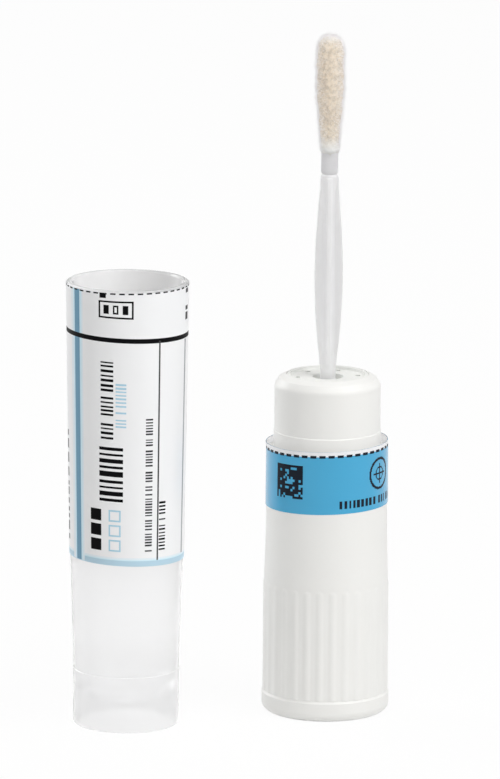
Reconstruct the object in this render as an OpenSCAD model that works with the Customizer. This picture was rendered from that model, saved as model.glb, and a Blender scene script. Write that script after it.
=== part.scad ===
// Specimen swab tube: a clear tube and, taken off beside it, the cap that carries the swab.
// Millimetres, +Z up. The origin is on the standing surface, under the middle of the pair.
// The tube stands on its skirt. The cap stands on its closed end, plug and swab upwards.
// Turned over, the cap closes the tube: its plug fills the mouth, the shoulder meets the rim
// and the swab's tip ends just above the dished floor.

/* [Standing place] */
// Distance between the two axes, side to side
stand_x = 30.4; // [22:0.2:60]
// How far the cap stands behind the tube
stand_y = 9; // [-20:0.5:20]

/* [Tube] */
// Height of the tube, rim to foot
tube_len = 68.5; // [60:0.5:90]
// Outer diameter at the rim
mouth_d = 18.4; // [17:0.1:22]
// Outer diameter where the taper gets steeper
belt_d = 17.2; // [16.6:0.1:18]
// Height at which the taper gets steeper
belt_z = 27; // [18:0.5:40]
// Outer diameter of the standing skirt
skirt_d = 16.2; // [15:0.1:18]
// Height of the standing skirt
skirt_h = 8.6; // [7.5:0.1:12]
// How far the skirt stands proud of the tube above it
skirt_step = 0.08; // [0.02:0.02:0.4]
// Thickness of the tube's wall
tube_wall = 0.95; // [0.7:0.05:1.3]
// Height of the floor's lowest point, inside
floor_z = 3.5; // [2.5:0.1:5]
// Radius of the dished floor
dish_r = 8.6; // [8.2:0.1:14]
// Thickness of the floor
floor_t = 0.9; // [0.6:0.1:1.4]
// Rounding of the rim
rim_round = 0.25; // [0.1:0.05:0.35]

/* [Film] */
// Thickness of the printed film
film_t = 0.1; // [0.05:0.01:0.2]
// Height of the label's lower edge on the tube
label_foot = 26.2; // [14:0.2:50]
// Slope of the label's lower edge across the tube
label_tilt = 1.9; // [0:0.1:3]
// How far the band reaches down from the shoulder
band_drop = 8.6; // [4:0.2:16]
// How far the torn edge stands up past the shoulder
band_lip = 1.1; // [0.4:0.1:2]
// Slope of the band's edges across the cap
band_tilt = 1.6; // [0:0.1:3]

/* [Cap] */
// Height of the cap's body, closed end to shoulder
cap_len = 41.1; // [34:0.5:60]
// Height at which the body starts to flare
waist_z = 28; // [22:0.5:32]
// How much the radius grows from the shoulder down to that height
cap_draft = 0.07; // [0.02:0.01:0.3]
// How much the radius grows from there down to the grip
cap_flare = 0.21; // [0.1:0.01:0.8]
// How much the radius grows down the grip
grip_draft = 0.02; // [0:0.01:0.3]
// Height of the foot ring
ring_h = 3.3; // [2.4:0.1:5]
// How far the foot ring stands proud of the body
ring_step = 0.25; // [0.1:0.01:0.8]
// Height of the bevel along the foot ring's upper edge
ring_bevel = 0.35; // [0.1:0.05:0.6]
// Rounding of the cap's lower edge
foot_round = 2.2; // [0.4:0.1:2.8]
// Number of grip ribs
rib_count = 30; // [12:1:36]
// Length of a grip rib, up from the foot ring
rib_len = 17.2; // [6:0.1:24]
// Width of a grip rib
rib_w = 1; // [0.6:0.05:1.3]
// How far a rib stands out at the foot ring
rib_out_low = 0.16; // [0.12:0.01:0.26]
// How far a rib stands out at its arched top
rib_out_top = 0.12; // [0.08:0.01:0.2]
// Thickness of the cap's closed end
cap_floor = 2.4; // [1.6:0.1:5]

/* [Plug] */
// Length of the plug, shoulder to end
plug_len = 11.4; // [8:0.1:16]
// Height of the sealing collar at the plug's root
collar_h = 2.7; // [1:0.1:4]
// Thickness of the plug's wall round the vent disc
plug_wall = 1.8; // [1.6:0.1:2.4]
// Width of the bevel round the plug's end
bevel_w = 0.9; // [0.3:0.05:1.2]
// Height of the bevel round the plug's end
bevel_h = 1.3; // [0.4:0.1:2]
// Width of the ledge that carries the vent disc
ledge_w = 0.4; // [0.2:0.05:0.8]

/* [Vent disc] */
// Thickness of the vent disc's face
disc_t = 1.4; // [1:0.1:2]
// How far the disc's face lies below its raised rim
disc_dish = 0.4; // [0.2:0.05:1]
// Width of the disc's raised rim
disc_rim_w = 0.7; // [0.4:0.05:1]
// Number of vents
vent_count = 6; // [3:1:12]
// Diameter of a vent
vent_d = 0.9; // [0.5:0.1:1.2]
// Web between a vent and the disc's raised rim
vent_web = 0.45; // [0.2:0.05:0.6]
// Diameter of the well round the swab
well_d = 4.8; // [3.6:0.1:6]
// Depth of the well
well_h = 0.8; // [0.6:0.1:1.6]
// Depth of the socket below the well
socket_h = 7.2; // [4:0.2:9]
// Wall round the well and the socket
socket_wall = 0.7; // [0.5:0.05:0.9]

/* [Desiccant] */
// Space left over the desiccant, under the socket
charge_head = 1.2; // [0.4:0.1:6]

/* [Swab] */
// Diameter of the shaft's foot
foot_d = 2.4; // [2:0.1:3]
// Span of the four fins at their widest
blade_w = 4.3; // [3:0.1:4.7]
// Thickness of a fin
blade_t = 0.8; // [0.5:0.05:1.2]
// Bare foot seen between the plug's end and the fins
foot_show = 1.5; // [0.5:0.1:5]
// Diameter of the round spine between the fins
spine_d = 1.9; // [1.2:0.1:2.4]
// Diameter of the neck under the tip
neck_d = 2.58; // [2.2:0.02:3]
// Distance from the end of the tip to the break notch
break_len = 21.7; // [20:0.1:30]
// Diameter left at the break notch
notch_d = 2.1; // [1.2:0.1:2.1]
// Height of the break notch
notch_h = 0.5; // [0.3:0.1:1]
// Length of the flocked tip
tip_len = 18.4; // [12:0.1:19]
// Diameter of the flocked tip
tip_d = 4.84; // [4:0.02:6]
// Diameter of the flock just above its lower edge
tip_low_d = 3.4; // [3.1:0.05:3.9]
// Diameter of the shaft's core under the flock
core_d = 2; // [1.4:0.1:2.1]

/* [Clearances] */
// Gap between film or flock and what it is stuck to
glue_gap = 0.03; // [0.01:0.01:0.05]
// Radial gap of the sealing collar in the tube's mouth
seal_gap = 0.05; // [0.02:0.01:0.1]
// Radial gap of the plug in the tube's mouth
plug_gap = 0.15; // [0.12:0.01:0.3]
// Radial gap of a piece set in the cap or in its socket
set_gap = 0.03; // [0.01:0.01:0.06]
// Gap between the swab's tip and the floor of the closed tube
tip_gap = 1; // [0.5:0.1:4]
// Gap between the desiccant and the chamber's wall
charge_gap = 0.15; // [0.1:0.05:0.5]

/* [Hidden] */
$fn = 96;

// Tube: radii and heights
mouth_r = mouth_d / 2;
belt_r = belt_d / 2;
skirt_r = skirt_d / 2;
heel_r = skirt_r - skirt_step;
seat_r = mouth_r - tube_wall;
seat_len = plug_len + 1;
seat_z = tube_len - seat_len;
foot_edge = 0.25;
dish_z = floor_z + dish_r;

// Film on the tube
film_r = mouth_r + glue_gap + film_t;

// Cap: radii and heights, up from its closed end
shoulder_r = mouth_r;
shoulder_z = cap_len;
waist_r = shoulder_r + cap_draft;
grip_r = waist_r + cap_flare;
grip_z = ring_h + rib_len + 0.6;
body_foot_r = grip_r + grip_draft;
ring_r = body_foot_r + ring_step;
edge = 0.15;
ring_round = min(foot_round, ring_h - ring_bevel - edge);
shoulder_round = 0.3;

// Grip ribs: round rods sunk in the body, ending in a ball, which gives the arched top
rib_out = (rib_out_low + rib_out_top) / 2;
rib_r = (pow(rib_w / 2, 2) + pow(rib_out, 2)) / (2 * rib_out);
rib_arch = sqrt(pow(rib_r, 2) - pow(rib_r - rib_out_top, 2));
rib_top_z = ring_h + rib_len - rib_arch;
rib_low_z = ring_h - ring_bevel - 0.05;
rib_top_r = body_r(rib_top_z) + rib_out_top - rib_r;
rib_low_r = body_foot_r + rib_out_low - rib_r;
rib_run = rib_top_z - rib_low_z;
rib_lean = atan((rib_low_r - rib_top_r) / rib_run);

// Plug, disc and chamber
plug_r = seat_r - plug_gap;
collar_r = seat_r - seal_gap;
plug_z = shoulder_z + plug_len;
disc_seat_r = plug_r - plug_wall;
disc_r = disc_seat_r - set_gap;
disc_rim_z = plug_z - set_gap;
disc_rim_r = disc_r - disc_rim_w;
disc_top = disc_rim_z - disc_dish;
disc_z = disc_top - disc_t;
chamber_r = disc_seat_r - ledge_w;
chamber_draft = 0.15;
crest_round = 0.2;
vent_ring_r = disc_rim_r - vent_web - vent_d / 2;
vent_turn = 10;
well_r = well_d / 2;
well_z = disc_top - well_h;
well_outer_r = well_r + socket_wall;

// Swab: heights from the end of its tip, which follows the depth of the tube
foot_r = foot_d / 2;
foot_z = well_z - socket_h;
socket_r = foot_r + set_gap;
socket_outer_r = socket_r + socket_wall;
socket_z = foot_z - socket_wall;
tip_top = shoulder_z + tube_len - floor_z - tip_gap;
tip_z = tip_top - tip_len;
notch_z = tip_top - break_len;
blade_low = plug_z + foot_show;
blade_top = notch_z - notch_h;
blade_steps = 28;
blade_skew = 0.9;
spine_ease = 2.5;
neck_r = neck_d / 2;
notch_r = notch_d / 2;
core_r = core_d / 2;
core_top = tip_top - 1.3;
tip_r = tip_d / 2;
tip_low_r = tip_low_d / 2;
tip_edge_r = neck_r + 0.06;
tip_flare = 0.7;
tip_swell = tip_len / 2;
tip_dome = tip_d * 0.8;
dome_power = 2.5;

// Desiccant: the charge reaches up to a little below the socket
charge_top = socket_z - charge_head;
charge_crown = 0.8;

// Where the two parts stand: the middle of the pair's outline is over the origin
overhang = ring_r - film_r;
tube_at = [-(stand_x + overhang) / 2, -(stand_y + overhang) / 2, 0];
cap_at = tube_at + [stand_x, stand_y, 0];

function mix(a, b, t) = a + (b - a) * t;
// Outer radius of the bare tube at height z
function tube_r(z) = z > belt_z
    ? mix(belt_r, mouth_r, (z - belt_z) / (tube_len - belt_z))
    : mix(heel_r, belt_r, (z - skirt_h) / (belt_z - skirt_h));
// Outer radius of the cap's body at height z
function body_r(z) = z > waist_z
    ? mix(waist_r, shoulder_r, (z - waist_z) / (shoulder_z - waist_z))
    : z > grip_z
    ? mix(grip_r, waist_r, (z - grip_z) / (waist_z - grip_z))
    : mix(body_foot_r, grip_r, (z - ring_h) / (grip_z - ring_h));
// Points of an arc round a centre, from one angle to another
function arc(centre, r, from, to, steps = 8) =
    [for (i = [0 : steps]) let (a = mix(from, to, i / steps)) centre + r * [cos(a), sin(a)]];
// Half the fins' span at a share t of their length
function fin_half(t) = mix(foot_r, neck_r, t)
    + (blade_w / 2 - (foot_r + neck_r) / 2) * sin(180 * pow(t, blade_skew));
// Point of the flock's blunt domed end, from its foot at 0 to the tip at 90 degrees
function dome_point(a) = [tip_r * pow(cos(a), 2 / dome_power),
                          tip_top - tip_dome + tip_dome * pow(sin(a), 2 / dome_power)];
// Point of the flock's rounded lower edge, from the shaft at 0 to the full radius at 90 degrees
function flare_point(a) = [mix(tip_edge_r, tip_low_r, sin(a)), tip_z + tip_flare * (1 - cos(a))];

// ---- Tube ----

module tube_outline() {
    polygon(concat(
        [[0, 0], [skirt_r - foot_edge, 0], [skirt_r, foot_edge], [skirt_r, skirt_h],
         [heel_r, skirt_h + skirt_step], [belt_r, belt_z]],
        arc([mouth_r - rim_round, tube_len - rim_round], rim_round, 0, 90, 4),
        [[0, tube_len]]));
}

module tube_cavity() {
    intersection() {
        polygon([[0, 0], [heel_r - tube_wall, 0], [heel_r - tube_wall, skirt_h],
                 [belt_r - tube_wall, belt_z], [seat_r, seat_z], [seat_r, tube_len - rim_round],
                 [seat_r + rim_round, tube_len], [seat_r + rim_round, tube_len + 1],
                 [0, tube_len + 1]]);
        union() {
            translate([0, dish_z]) circle(dish_r);
            translate([0, dish_z]) square([mouth_r, tube_len]);
        }
    }
}

module skirt_hollow() {
    difference() {
        translate([0, -1]) square([skirt_r - tube_wall, dish_z + 1]);
        translate([0, dish_z]) circle(dish_r + floor_t);
    }
}

module tube() {
    color([0.9, 0.93, 0.95, 0.45])
    translate(tube_at)
    rotate_extrude()
    difference() {
        tube_outline();
        tube_cavity();
        skirt_hollow();
    }
}

// Film round a body whose half outline is given from the bottom up
module film_sleeve(side) {
    rotate_extrude()
    polygon(concat(
        [for (p = side) p + [glue_gap, 0]],
        [for (i = [len(side) - 1 : -1 : 0]) side[i] + [glue_gap + film_t, 0]]));
}

// Film wrapped round the tube, level with the rim, with a slanting lower edge
module tube_label() {
    low = label_foot - 1;
    top = tube_len - rim_round;
    color([0.95, 0.96, 0.97, 0.9])
    translate(tube_at)
    intersection() {
        film_sleeve([for (z = [low, belt_z, top]) if (z >= low) [tube_r(z), z]]);
        translate([0, 0, label_foot])
        rotate([0, label_tilt, 0])
        translate([-mouth_d, -mouth_d, 0])
        cube([2 * mouth_d, 2 * mouth_d, 2 * tube_len]);
    }
}

// ---- Cap ----

// Half section of the cap: closed end, foot ring, tapered body, shoulder, collar and plug
module cap_outline() {
    polygon(concat(
        [[0, 0]],
        arc([ring_r - ring_round, ring_round], ring_round, -90, 0),
        [[ring_r, ring_h - ring_bevel], [body_foot_r, ring_h], [grip_r, grip_z], [waist_r, waist_z]],
        arc([shoulder_r - shoulder_round, shoulder_z - shoulder_round], shoulder_round, 0, 90, 4),
        [[collar_r, shoulder_z], [collar_r, shoulder_z + collar_h - edge],
         [plug_r, shoulder_z + collar_h], [plug_r, plug_z - bevel_h],
         [plug_r - bevel_w, plug_z - crest_round], [plug_r - bevel_w - crest_round, plug_z],
         [0, plug_z]]));
}

// Chamber for the desiccant, with the ledge and the seat of the vent disc above it
module cap_chamber() {
    polygon([[0, cap_floor], [chamber_r - chamber_draft, cap_floor], [chamber_r, disc_z],
             [disc_seat_r, disc_z], [disc_seat_r, plug_z + 1], [0, plug_z + 1]]);
}

// Only the outer side of a rod is kept, so that neighbours don't meet inside the wall
module grip_rib() {
    slice_w = rib_w * 1.3;
    intersection() {
        translate([rib_top_r, 0, rib_top_z])
        rotate([0, 180 - rib_lean, 0]) {
            sphere(rib_r, $fn = 24);
            cylinder(r = rib_r, h = rib_run / cos(rib_lean), $fn = 24);
        }
        translate([rib_top_r, -slice_w / 2, 0]) cube([2 * rib_r, slice_w, cap_len]);
    }
}

module cap_body() {
    color([0.96, 0.96, 0.95])
    translate(cap_at) {
        difference() {
            union() {
                rotate_extrude() cap_outline();
                for (i = [0 : rib_count - 1]) rotate([0, 0, 360 / rib_count * i]) grip_rib();
            }
            rotate_extrude() cap_chamber();
        }
    }
}

// Film round the shoulder, with its torn edge standing free past it
module cap_band() {
    low = shoulder_z - band_drop;
    height = band_drop + band_lip;
    color([0.42, 0.72, 0.9])
    translate(cap_at)
    intersection() {
        film_sleeve([for (z = [low - 1, waist_z, low + height + 1]) if (z >= low - 1) [body_r(z), z]]);
        translate([0, 0, low + height / 2])
        rotate([0, -band_tilt, 0])
        translate([0, 0, -height / 2])
        cylinder(r = mouth_d, h = height);
    }
}

// ---- Drying charge, disc and swab ----

module desiccant() {
    color([0.86, 0.83, 0.76])
    translate(cap_at)
    rotate_extrude()
    polygon([[0, cap_floor], [chamber_r - chamber_draft - charge_gap, cap_floor],
             [chamber_r - chamber_draft - charge_gap, charge_top - charge_crown],
             [chamber_r / 2, charge_top - charge_crown / 4], [0, charge_top]]);
}

// Dished disc with the well and socket of the swab in one piece, and the vents round them
module vent_disc() {
    color([0.93, 0.93, 0.91])
    translate(cap_at)
    difference() {
        rotate_extrude()
        polygon([[0, socket_z], [socket_outer_r - edge, socket_z],
                 [socket_outer_r, socket_z + edge],
                 [socket_outer_r, well_z - socket_wall - (well_outer_r - socket_outer_r)],
                 [well_outer_r, well_z - socket_wall], [well_outer_r, disc_z], [disc_r, disc_z],
                 [disc_r, disc_rim_z - edge], [disc_r - edge, disc_rim_z],
                 [disc_rim_r + edge, disc_rim_z], [disc_rim_r, disc_top], [well_r, disc_top],
                 [well_r, well_z], [socket_r, well_z], [socket_r, foot_z], [0, foot_z]]);
        for (i = [0 : vent_count - 1])
            rotate([0, 0, vent_turn + 360 / vent_count * i])
            translate([vent_ring_r, 0, disc_z - 1])
            cylinder(d = vent_d, h = disc_t + 2, $fn = 24);
    }
}

// One pair of fins, a flat blade that swells in the middle
module fin_pair() {
    side = [for (i = [0 : blade_steps]) let (t = i / blade_steps)
            [fin_half(t), mix(blade_low, blade_top, t)]];
    rotate([90, 0, 0])
    linear_extrude(blade_t, center = true)
    polygon(concat(side, [for (i = [blade_steps : -1 : 0]) [-side[i][0], side[i][1]]]));
}

// Round outline of the shaft from its foot to its end under the flock
function shaft_points() = concat(
    [[0, foot_z], [foot_r - edge, foot_z], [foot_r, foot_z + edge], [foot_r, blade_low],
     [spine_d / 2, blade_low + spine_ease], [spine_d / 2, blade_top - spine_ease],
     [neck_r, blade_top], [neck_r, notch_z - notch_h / 2], [notch_r, notch_z],
     [neck_r, notch_z + notch_h / 2], [neck_r, tip_z]],
    core_points(0));

// Outline of the shaft's end under the flock, grown by a gap
function core_points(grow) = concat(
    [[core_r + grow, tip_z]],
    arc([0, core_top - core_r], core_r + grow, 0, 90, 6));

module swab_shaft() {
    color([0.9, 0.91, 0.93])
    translate(cap_at) {
        rotate_extrude($fn = 48) polygon(shaft_points());
        fin_pair();
        rotate([0, 0, 90]) fin_pair();
    }
}

module swab_tip() {
    color([0.93, 0.89, 0.82])
    translate(cap_at)
    rotate_extrude($fn = 48)
    polygon(concat(
        core_points(glue_gap),
        [for (a = [90 : -7.5 : 0]) dome_point(a)],
        [[tip_r, tip_z + tip_swell]],
        [for (a = [90 : -22.5 : 0]) flare_point(a)]));
}

tube();
tube_label();
cap_body();
cap_band();
vent_disc();
desiccant();
swab_shaft();
swab_tip();
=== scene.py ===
import math
import random
import bpy
import numpy as np
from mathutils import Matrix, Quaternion, Vector


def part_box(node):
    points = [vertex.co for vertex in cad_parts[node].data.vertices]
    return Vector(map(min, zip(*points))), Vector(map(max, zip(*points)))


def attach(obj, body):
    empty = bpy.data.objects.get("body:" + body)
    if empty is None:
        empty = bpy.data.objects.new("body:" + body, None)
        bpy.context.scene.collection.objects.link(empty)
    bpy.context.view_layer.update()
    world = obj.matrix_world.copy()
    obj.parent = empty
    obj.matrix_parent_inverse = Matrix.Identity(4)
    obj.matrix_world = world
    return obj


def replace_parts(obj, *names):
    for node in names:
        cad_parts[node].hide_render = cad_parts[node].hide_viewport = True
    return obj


# A specimen tube with a printed film, and beside it its cap: a ribbed moulding with a blue film, a vent disc
# over drying beads, and a finned shaft with a flocked tip. Sizes are in mm, and add_mesh() turns them into
# metres. Only the floor, lamps and camera are set in metres.

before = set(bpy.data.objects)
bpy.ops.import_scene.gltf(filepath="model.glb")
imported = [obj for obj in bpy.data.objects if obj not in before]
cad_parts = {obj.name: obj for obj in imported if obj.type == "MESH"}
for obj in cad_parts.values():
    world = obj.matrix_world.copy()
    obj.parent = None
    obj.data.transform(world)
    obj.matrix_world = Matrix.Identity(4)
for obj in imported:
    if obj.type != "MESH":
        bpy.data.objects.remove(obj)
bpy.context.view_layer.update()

MM = 0.001


# ---------------------------------------------------------------- places, from the CAD boxes

def axis_of(node):
    """Where a round node's axis stands, in mm."""
    low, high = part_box(node)
    return (low.x + high.x) / 2 / MM, (low.y + high.y) / 2 / MM


def span_of(node):
    """Lowest and highest z and the largest radius of a round node, in mm."""
    low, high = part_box(node)
    return low.z / MM, high.z / MM, (high.x - low.x) / 2 / MM


TUBE_AXIS = axis_of("tube")
CAP_AXIS = axis_of("vent_disc")
_, RIM_Z, MOUTH_R = span_of("tube")
PLUG_Z = span_of("cap_body")[1]
_, DISC_TOP, DISC_R = span_of("vent_disc")
SWAB_FOOT_Z = span_of("swab_shaft")[0]
TIP_Z, TIP_TOP, TIP_R = span_of("swab_tip")


# ---------------------------------------------------------------- mesh helpers

ARC_SHARE = 0.45    # a rounding takes at most this share of each stretch beside its corner
ARC_HOLD = 0.05     # a point this far past each end of a rounding keeps the flat beside it flat


def add_mesh(name, verts, faces, mats, face_mats=None, normals=None):
    """A smooth piece from points in mm. Each face has the first material unless face_mats says which."""
    me = bpy.data.meshes.new(name)
    me.from_pydata((np.asarray(verts) * MM).tolist(), [], faces)
    for mat in mats:
        me.materials.append(mat)
    me.polygons.foreach_set("use_smooth", [True] * len(me.polygons))
    if face_mats is not None:
        me.polygons.foreach_set("material_index", list(face_mats))
    me.update()
    if normals is not None:
        me.normals_split_custom_set_from_vertices([tuple(n) for n in np.asarray(normals)])
    ob = bpy.data.objects.new(name, me)
    bpy.context.scene.collection.objects.link(ob)
    return ob


def rounded(points, steps=5):
    """An outline of (r, z) points, where (r, z, rounding) makes a corner an arc. Its two ends stay points."""
    out = []
    for i, point in enumerate(points):
        here = Vector(point[:2])
        if len(point) < 3:
            out.append(tuple(here))
            continue
        back = Vector(points[i - 1][:2]) - here
        on = Vector(points[i + 1][:2]) - here
        half = back.angle(on) / 2
        reach = min(point[2] / math.tan(half), ARC_SHARE * back.length, ARC_SHARE * on.length)
        r = reach * math.tan(half)
        u, v = back.normalized(), on.normalized()
        centre = here + (u + v).normalized() * r / math.sin(half)
        first, last = here + u * reach - centre, here + v * reach - centre
        start = math.atan2(first.y, first.x)
        sweep = (math.atan2(last.y, last.x) - start + math.pi) % (2 * math.pi) - math.pi
        if back.length > reach + 2 * ARC_HOLD:
            out.append(tuple(here + u * (reach + ARC_HOLD)))
        for k in range(steps + 1):
            t = start + sweep * k / steps
            out.append((centre.x + r * math.cos(t), centre.y + r * math.sin(t)))
        if on.length > reach + 2 * ARC_HOLD:
            out.append(tuple(here + v * (reach + ARC_HOLD)))
    return out


def divided(points, longest):
    """The same outline with its long stretches cut into shorter ones."""
    out = [points[0]]
    for a, b in zip(points, points[1:]):
        parts = max(1, math.ceil(math.dist(a, b) / longest))
        out += [(a[0] + (b[0] - a[0]) * k / parts, a[1] + (b[1] - a[1]) * k / parts)
                for k in range(1, parts + 1)]
    return out


def ring(at, radii, angles, z):
    """A closed row of points round an axis."""
    return [(at[0] + r * math.cos(a), at[1] + r * math.sin(a), z) for r, a in zip(radii, angles)]


def skin(rows):
    """Vertices and faces of a surface through closed rows of points. A row of one point closes an end."""
    verts, faces, low = [], [], []
    for row in rows:
        high = range(len(verts), len(verts) + len(row))
        verts += row
        count = max(len(low), len(high)) if low else 0
        for k in range(count):
            k2 = (k + 1) % count
            if len(low) == 1:
                faces.append((low[0], high[k2], high[k]))
            elif len(high) == 1:
                faces.append((low[k], low[k2], high[0]))
            else:
                faces.append((low[k], low[k2], high[k2], high[k]))
        low = high
    return verts, faces


def lathe(outline, seg, at, shape=None):
    """Skin of an (r, z) outline turned round an axis. shape(r, z, angles) may change each row's radii."""
    angles = np.linspace(0, 2 * math.pi, seg, endpoint=False)
    rows = []
    for r, z in outline:
        if r < 1e-6:
            rows.append([(at[0], at[1], z)])
        else:
            rows.append(ring(at, shape(r, z, angles) if shape else np.full(seg, r), angles, z))
    return skin(rows)


def eased(t):
    """0 to 1 with soft ends, held before 0 and after 1."""
    t = min(1.0, max(0.0, t))
    return t * t * (3 - 2 * t)


# ---------------------------------------------------------------- material helpers

def srgb(r, g, b):
    """Linear colour of an sRGB one from 0 to 255."""
    return tuple(c / 12.92 if c <= 0.04045 else ((c + 0.055) / 1.055) ** 2.4
                 for c in (r / 255, g / 255, b / 255))


def add_node(tree, kind, **values):
    """A shader node with some inputs set. An underscore in an input's name stands for a space."""
    node = tree.nodes.new("ShaderNode" + kind)
    for name, value in values.items():
        node.inputs[name.replace("_", " ")].default_value = value
    return node


def node_of(m, kind):
    return next(n for n in m.node_tree.nodes if n.type == kind)


def feed(tree, value, socket):
    """Links an output to an input, or sets the input to a plain value."""
    if isinstance(value, bpy.types.NodeSocket):
        tree.links.new(value, socket)
    else:
        socket.default_value = value


def colour_mix(tree, factor, low, high):
    """A mix node for colours. Its sockets for them have to be picked by number."""
    node = add_node(tree, "Mix")
    node.data_type = "RGBA"
    feed(tree, factor, node.inputs["Factor"])
    feed(tree, low, node.inputs[6])
    feed(tree, high, node.inputs[7])
    return node.outputs[2]


def ranged(tree, value, **limits):
    """A number taken from one range to another, held at the ends."""
    node = add_node(tree, "MapRange", **limits)
    tree.links.new(value, node.inputs["Value"])
    return node.outputs["Result"]


def maths(tree, operation, a, b, clamp=False):
    node = add_node(tree, "Math")
    node.operation = operation
    node.use_clamp = clamp
    feed(tree, a, node.inputs[0])
    feed(tree, b, node.inputs[1])
    return node.outputs[0]


def noise_of(tree, place, scale, detail):
    node = add_node(tree, "TexNoise", Scale=scale, Detail=detail)
    tree.links.new(place, node.inputs["Vector"])
    return node.outputs["Fac"]


def finish_of(name, colour, rough, grain, vary, rough_vary=0.0, bump=0.0, bump_scale=None, **sockets):
    """Plastic, ink or flock: a colour that varies a little, roughness that may vary, and a fine bump."""
    m = bpy.data.materials.new(name)
    m.use_nodes = True
    tree = m.node_tree
    tree.nodes.clear()
    out = add_node(tree, "OutputMaterial")
    bsdf = add_node(tree, "BsdfPrincipled", Roughness=rough, **sockets)
    place = add_node(tree, "TexCoord").outputs["Object"]
    shade = noise_of(tree, place, grain, 3.0)
    darker = tuple(c * (1 - vary) for c in colour) + (1,)
    lighter = tuple(min(1, c * (1 + vary)) for c in colour) + (1,)
    tree.links.new(colour_mix(tree, shade, darker, lighter), bsdf.inputs["Base Color"])
    if rough_vary:
        spread = ranged(tree, shade, To_Min=rough - rough_vary, To_Max=rough + rough_vary)
        tree.links.new(spread, bsdf.inputs["Roughness"])
    if bump:
        relief = add_node(tree, "Bump", Strength=bump, Distance=0.0001)
        tree.links.new(noise_of(tree, place, bump_scale, 2.0), relief.inputs["Height"])
        tree.links.new(relief.outputs["Normal"], bsdf.inputs["Normal"])
    tree.links.new(bsdf.outputs["BSDF"], out.inputs["Surface"])
    return m


def toned(m, tint, z_plain, z_tinted):
    """The colour goes over to tint between two heights in mm."""
    tree = m.node_tree
    xyz = add_node(tree, "SeparateXYZ")
    tree.links.new(node_of(m, "TEX_COORD").outputs["Object"], xyz.inputs["Vector"])
    share = ranged(tree, xyz.outputs["Z"], From_Min=z_plain * MM, From_Max=z_tinted * MM)
    base = node_of(m, "BSDF_PRINCIPLED").inputs["Base Color"]
    tree.links.new(colour_mix(tree, share, base.links[0].from_socket, tint + (1,)), base)
    return m


def streaked(m, along):
    """The colour's noise is drawn out along Z."""
    tree = m.node_tree
    place = node_of(m, "TEX_NOISE").inputs["Vector"]
    stretch = add_node(tree, "Mapping", Scale=(1, 1, along))
    tree.links.new(place.links[0].from_socket, stretch.inputs["Vector"])
    tree.links.new(stretch.outputs["Vector"], place)
    return m


def lets_lamps_through(m, share=1.0, bounced=False):
    """A share of the shadow rays, and of the light bounced off matt surfaces if asked, passes through."""
    tree = m.node_tree
    path = add_node(tree, "LightPath").outputs
    passing = path["Is Shadow Ray"]
    if bounced:
        passing = maths(tree, "MAXIMUM", passing, path["Is Diffuse Ray"])
    mix = add_node(tree, "MixShader")
    tree.links.new(maths(tree, "MULTIPLY", passing, share), mix.inputs[0])
    tree.links.new(node_of(m, "BSDF_PRINCIPLED").outputs["BSDF"], mix.inputs[1])
    tree.links.new(add_node(tree, "BsdfTransparent").outputs["BSDF"], mix.inputs[2])
    tree.links.new(mix.outputs[0], node_of(m, "OUTPUT_MATERIAL").inputs["Surface"])
    return m


# ---------------------------------------------------------------- materials

EVEN = (1.0, 1.0, 1.0)    # light spreads as far in each colour under the surface

# the clear tube is painted greyer towards its heel, and again at its foot: painted shade, as its plastic is
# one colour all over
CLEAR = finish_of("clear_moulding", (0.95, 0.95, 0.952), 0.4, grain=160, vary=0.016, rough_vary=0.03,
                  Transmission_Weight=0.93, IOR=1.07, Coat_Weight=1.0, Coat_Roughness=0.15, Coat_IOR=1.45)
CLEAR = toned(streaked(CLEAR, 0.06), (0.892, 0.892, 0.894), 15.0, 6.0)
CLEAR = lets_lamps_through(toned(CLEAR, (0.845, 0.845, 0.847), 3.6, 2.0))
CLEAR_FLOOR = lets_lamps_through(finish_of(
    "clear_moulding_floor", (0.975, 0.975, 0.977), 0.4, grain=300, vary=0.02, rough_vary=0.03,
    Transmission_Weight=0.95, IOR=1.05))

FILM = finish_of("label_film", srgb(245, 246, 248), 0.34, grain=35, vary=0.012, bump=0.15, bump_scale=900)
# the film's back is greyer and bluer than its face: painted shade of the inside of the mouth
FILM_BACK = finish_of("label_film_back", srgb(233, 233, 238), 0.5, grain=40, vary=0.02,
                      Subsurface_Weight=1.0, Subsurface_Radius=EVEN, Subsurface_Scale=0.003)
BLACK_INK = finish_of("black_ink", srgb(7, 7, 9), 0.5, grain=500, vary=0.25, Specular_IOR_Level=0.06)
GREY_INK = finish_of("grey_ink", srgb(60, 60, 62), 0.5, grain=500, vary=0.15, Specular_IOR_Level=0.2)
PALE_INK = finish_of("pale_grey_ink", srgb(158, 160, 166), 0.4, grain=500, vary=0.12)
STEEL_INK = finish_of("steel_blue_ink", srgb(100, 153, 183), 0.38, grain=120, vary=0.05)
SKY_INK = finish_of("sky_blue_ink", srgb(168, 209, 230), 0.38, grain=120, vary=0.05)
LINE_INK = finish_of("foot_line_ink", srgb(184, 215, 232), 0.38, grain=120, vary=0.04)
HAZE_INK = finish_of("haze_blue_ink", srgb(214, 240, 252), 0.36, grain=120, vary=0.03)
FAINT_INK = finish_of("faint_blue_ink", srgb(233, 243, 250), 0.36, grain=120, vary=0.02)

CAP_WHITE = finish_of("white_moulding", srgb(241, 241, 239), 0.42, grain=55, vary=0.012, rough_vary=0.05,
                      bump=0.12, bump_scale=1100)
DISC_WHITE = finish_of("disc_moulding", srgb(238, 239, 236), 0.5, grain=80, vary=0.02,
                       bump=0.2, bump_scale=900)
BEADS = finish_of("drying_beads", srgb(219, 212, 194), 0.8, grain=700, vary=0.15, bump=0.9, bump_scale=600)

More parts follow.
